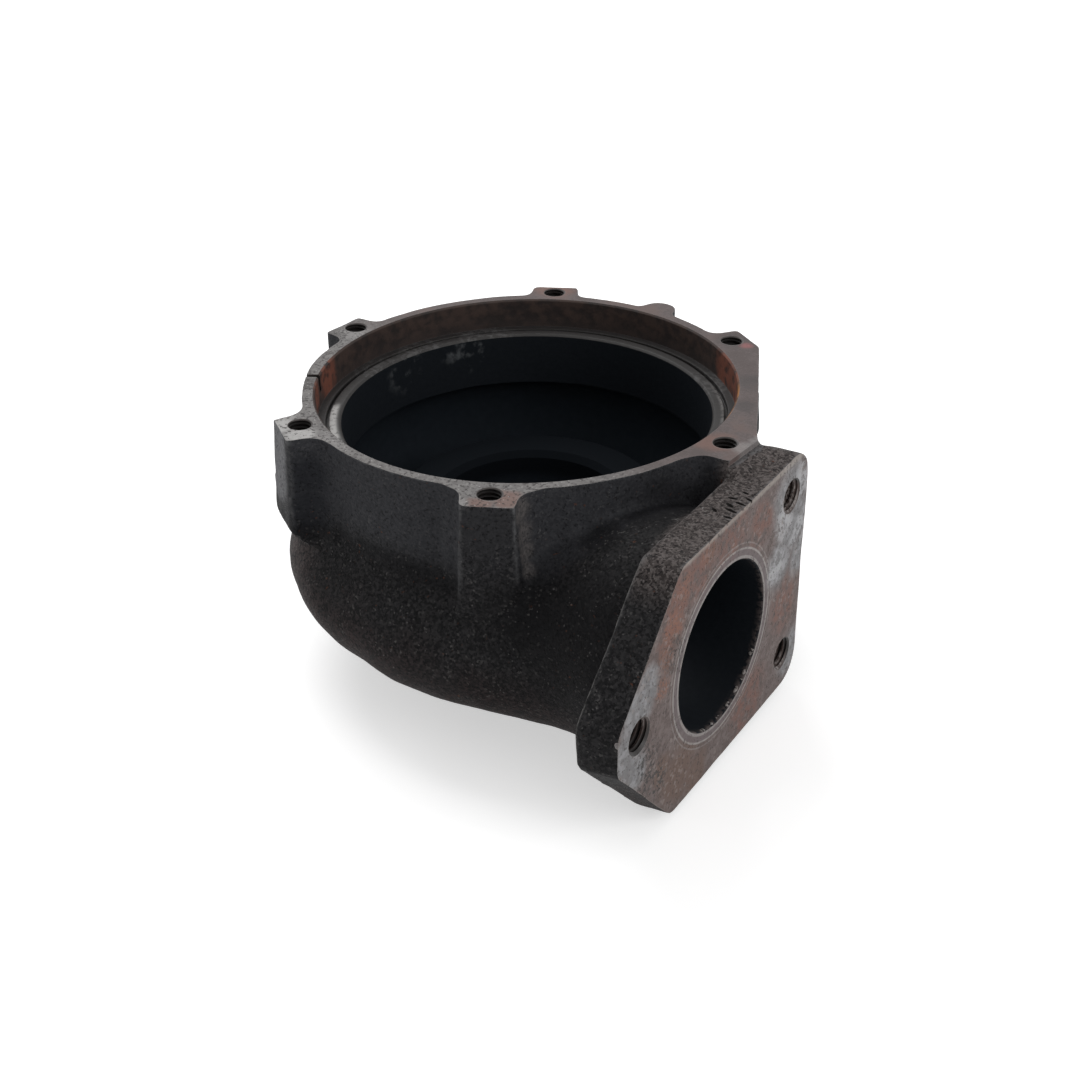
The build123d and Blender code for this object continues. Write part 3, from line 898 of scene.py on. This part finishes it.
def rusty_flange_face():
    """Machined inlet face: thin red rust, rubbed grey round the holes, with bright rings round the bore."""
    face = Finish("rusty_flange_face", specular=0.2)
    uneven = face.shifted(6, 5)
    ragged = face.shifted(1.6, 1.4)
    grain = face.noise(0.7, detail=4, roughness=0.7)
    blotch = face.noise(2.6, detail=4, roughness=0.65, place=ragged)
    cloud = face.noise(9, detail=3)

    def on_face(spots):
        return face.patches([(INLET_FACE, y, z, radius) for y, z, radius in spots], uneven)

    rusted = face.rise(blotch * 0.6 + grain * 0.4, 0.4, 0.6)
    colour = face.mix((0.088, 0.064, 0.059), (0.142, 0.112, 0.106), rusted)
    red = on_face(
        [(-50, 55, 9), (-53, 49, 6), (-28, 58, 10), (-14, 54, 8), (0, 26, 9), (-16, 10, 11), (-41, 57, 8)]
    )
    colour = face.mix(colour, (0.15, 0.07, 0.053), red * face.rise(blotch, 0.36, 0.6) * 0.85)
    orange = on_face([(-52, 50, 5), (-55, 44, 4.5), (-48, 56, 4), (-38, 60, 4), (-56, 38, 4)])
    orange = orange * face.rise(grain, 0.42, 0.56)
    colour = face.mix(colour, (0.24, 0.1, 0.06), orange * 0.6)
    tan = on_face([(-48, 11, 10), (-40, 6, 7), (-55, 17, 5)])
    colour = face.mix(colour, (0.115, 0.072, 0.056), tan * 0.8)
    brown = on_face([(-7, 45, 4), (-54, 44, 6), (4, 22, 5), (-12, 14, 5), (-36, 58, 6)])
    colour = face.mix(colour, (0.06, 0.04, 0.032), brown * face.rise(grain, 0.5, 0.62) * 0.8)
    clean = on_face(
        [(0, 54, 11), (3, 46, 10), (-4, 39, 8), (7, 36, 7), (-69, 30, 9), (-66, 38, 8), (-61, 42, 6),
         (-66, 23, 6), (6, 10, 8)]
    )
    grey = face.mix((0.165, 0.163, 0.167), (0.27, 0.27, 0.28), face.rise(blotch, 0.4, 0.65))
    colour = face.mix(colour, grey, clean * 0.9)
    # Pale rubbed metal near the upper right hole and down the right edge, with a painted reflection on it
    pale = on_face([(7, 56, 7), (-3, 49, 6), (-5, 39, 5), (6, 43, 6)])
    colour = face.mix(colour, (0.42, 0.42, 0.43), pale * face.rise(blotch, 0.38, 0.56) * 0.6)
    crackle = face.rise(face.grains(0.8, ragged), 0.82, 0.95) * face.rise(cloud, 0.35, 0.6)
    colour = face.mix(colour, (0.27, 0.23, 0.215), crackle * 0.4)
    scored = on_face([(-62, 24, 6), (-57, 16, 6), (-61, 19, 5), (-50, 43, 5)])
    strokes = face.rise(face.noise(1.1, detail=2, place=ragged), 0.52, 0.58)
    colour = face.mix(colour, (0.035, 0.033, 0.032), scored * strokes * 0.85)

    away = face.off_axis(INLET_Y, INLET_Z)
    rings = face.rise(away, 21.0, 21.25) * face.rise(away, 21.7, 21.45)
    rings = rings.over(face.rise(away, 19.9, 19.7) * 0.8)
    rings = rings.over(face.rise(away, 22.3, 22.45) * face.rise(away, 22.8, 22.6) * 0.45)
    bed = face.rise(away, 21.2, 21.0)
    colour = face.mix(colour, (0.12, 0.1, 0.105), bed * 0.6)
    colour = face.mix(colour, (0.3, 0.28, 0.27), rings * face.rise(blotch, 0.25, 0.5) * 0.85)
    edge = face.rise(face.z, 60.9, 61.8).over(face.worn_edge(0.45))
    colour = face.mix(colour, (0.34, 0.31, 0.28), edge * (0.3 + grain * 0.5))
    pits = face.rise(face.noise(0.8, detail=2, place=ragged), 0.6, 0.66)
    colour = face.mix(colour, (0.045, 0.034, 0.03), pits * 0.65)
    height = blotch * 0.4 + grain * 0.3 - pits * 0.6 - scored * strokes * 0.6
    relief = face.relief(height, 0.2, face.rounded(0.35))
    face.feed(Base_Color=colour, Roughness=0.45 + grain * 0.3, Normal=relief)
    return face.material


def dark_bore():
    """Inlet bore, sooted to a dull blue-black."""
    bore = Finish("dark_bore", specular=0.08)
    grain = bore.noise(1.5, detail=3)
    colour = bore.mix((0.004, 0.0055, 0.0075), (0.009, 0.011, 0.014), grain)
    mouth = bore.rise(bore.x, 66.2, 67.8) * bore.rise(bore.noise(1.2, detail=3), 0.4, 0.6)
    colour = bore.mix(colour, (0.11, 0.09, 0.085), mouth * 0.6)
    bore.feed(Base_Color=colour, Roughness=0.65, Normal=bore.relief(grain, 0.08, bore.rounded(0.3)))
    return bore.material


def rusty_and_shaded_threads():
    """Tapped holes, saw cut and gouges: dark with painted shade in the rim, rusty in the flange, with painted
    shade in the threads' roots and deeper in, and painted highlights on their crests.
    """
    thread = Finish("rusty_and_shaded_threads", specular=0.4)
    grain = thread.noise(0.7, detail=3)
    # Painted shade: near black inside the holes, the saw cut and the gouges, lighter at the rim holes' mouths
    colour = thread.mix((0.005, 0.0045, 0.004), (0.013, 0.01, 0.009), grain)
    colour = thread.mix(colour, (0.06, 0.048, 0.044), thread.rise(thread.z, 64.5, 64.95) * 0.6)
    for across, up in FLANGE_HOLES:
        away = thread.off_axis(INLET_Y + across, INLET_Z + up)
        flank = thread.mix((0.032, 0.021, 0.018), (0.075, 0.052, 0.045), grain)
        # Painted shade in the thread roots
        flank = thread.mix(flank, (0.012, 0.009, 0.008), thread.rise(away, 3.7, 3.95))
        # Painted highlight on the thread crests
        crest = thread.rise(away, 3.52, 3.42) * thread.rise(thread.x, 60, 65)
        flank = thread.mix(flank, (0.2, 0.175, 0.165), crest * thread.rise(grain, 0.4, 0.6))
        # Painted shade deeper in the hole
        flank = thread.mix(flank, (0.012, 0.009, 0.008), thread.rise(thread.x, 66.5, 61.5) * 0.85)
        colour = thread.mix(colour, flank, thread.rise(away, 6, 5.5) * thread.rise(thread.x, 50, 51))
    thread.feed(Base_Color=colour, Roughness=0.45, Normal=thread.relief(grain, 0.05))
    return thread.material


def sooty_scroll():
    """Inside of the scroll and the outlet, dull soot."""
    soot = Finish("sooty_scroll", specular=0.02)
    grain = soot.noise(2.0, detail=3)
    ring = soot.rise(soot.z, 26, 30) * soot.rise(soot.reach, 32.5, 32)
    colour = soot.mix((0.0135, 0.017, 0.0215), (0.0205, 0.025, 0.031), grain)
    soot.feed(Base_Color=soot.mix(colour, (0.006, 0.0075, 0.0095), ring), Roughness=0.75)
    return soot.material


def pale_floor():
    """Pale floor that glows where it is seen, so that it looks white round the object's shadow."""
    ground = Finish("pale_floor", specular=0.0)
    glow = ground.mix((0, 0, 0), (1, 1, 1), ground.seen())
    ground.feed(Base_Color=(0.8, 0.8, 0.8, 1), Roughness=1.0, Emission_Color=glow, Emission_Strength=0.52)
    return ground.material


casting = casting_blank(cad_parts["turbine_housing"])
softened(casting)
for finish in (
    rough_cast_skin,
    weathered_rim,
    rusty_register,
    worn_and_lit_lip,
    sooty_chamber,
    rusty_flange_face,
    dark_bore,
    rusty_and_shaded_threads,
    sooty_scroll,
):
    casting.data.materials.append(finish())
machined(casting)
gouged(casting)
flaked(casting)
crisp_edges(casting)
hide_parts("turbine_housing")
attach(casting, "root")

# The floor lies this far below the outlet face, so that they don't share a plane, and its half side is in metres
FLOOR_DROP = 0.05
FLOOR_REACH = 3.0

floor_shape = bmesh.new()
floor_place = Matrix.Translation((0, 0, -FLOOR_DROP * MM))
bmesh.ops.create_grid(floor_shape, x_segments=1, y_segments=1, size=FLOOR_REACH, matrix=floor_place)
floor = finished_mesh(floor_shape, "floor")
floor.data.materials.append(pale_floor())


def area_lamp(name, place, aim, size, power):
    """Soft lamp that points at a place."""
    data = bpy.data.lights.new(name, "AREA")
    data.shape = "DISK"
    data.size = size
    data.energy = power
    lamp = bpy.data.objects.new(name, data)
    bpy.context.scene.collection.objects.link(lamp)
    place = Vector(place)
    turn = (Vector(aim) - place).to_track_quat("-Z", "Y").to_matrix().to_4x4()
    lamp.matrix_world = Matrix.Translation(place) @ turn


area_lamp("window", (-0.45, 0.25, 0.75), (0, 0, 0.03), 0.6, 4.2)
area_lamp("side", (0.75, -0.05, 0.45), (0.05, -0.03, 0.03), 0.5, 2.2)


def studio_world():
    """Even light on the object, with a white background for the camera and for reflections."""
    world = bpy.data.worlds.new("studio")
    world.use_nodes = True
    studio = Nodes(world.node_tree)
    level = studio.node("ShaderNodeMapRange", inputs={"Value": studio.seen(), "To Min": 0.5, "To Max": 1.0})
    light = studio.node("ShaderNodeBackground", inputs={"Color": (1, 1, 1, 1), "Strength": level})
    studio.node("ShaderNodeOutputWorld", inputs={"Surface": light})
    bpy.context.scene.world = world


studio_world()
bpy.context.scene.view_settings.view_transform = "Standard"
